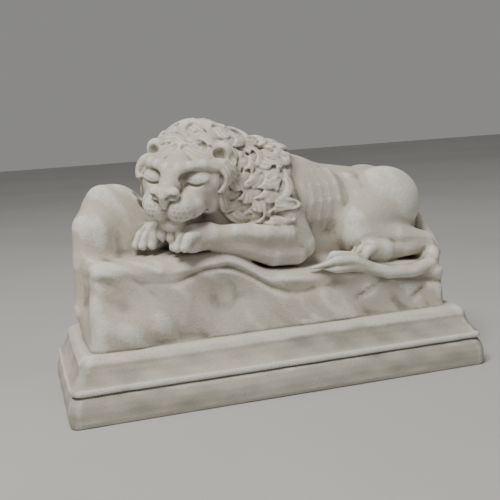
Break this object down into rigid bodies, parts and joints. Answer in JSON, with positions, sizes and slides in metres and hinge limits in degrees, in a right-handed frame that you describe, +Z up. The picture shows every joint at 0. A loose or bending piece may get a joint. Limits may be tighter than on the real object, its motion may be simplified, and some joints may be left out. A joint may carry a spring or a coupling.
{
  "type": "sleeping lion statuette",
  "caption": "Plaster statuette of a sleeping lion on a block of rock, cast in one piece with a moulded oblong plinth.",
  "frame": {"origin": "middle of the underside of the plinth", "axes": "+X along the plinth towards the lion's rump, -Y towards the side that the lion faces, +Z up"},
  "size_m": [0.2, 0.086, 0.1269],
  "materials": {
    "plaster": "matte, aged cast plaster with grime in the hollows"
  },
  "bodies": {
    "root": {"lion_sculpture": "plaster"}
  },
  "joints": []
}
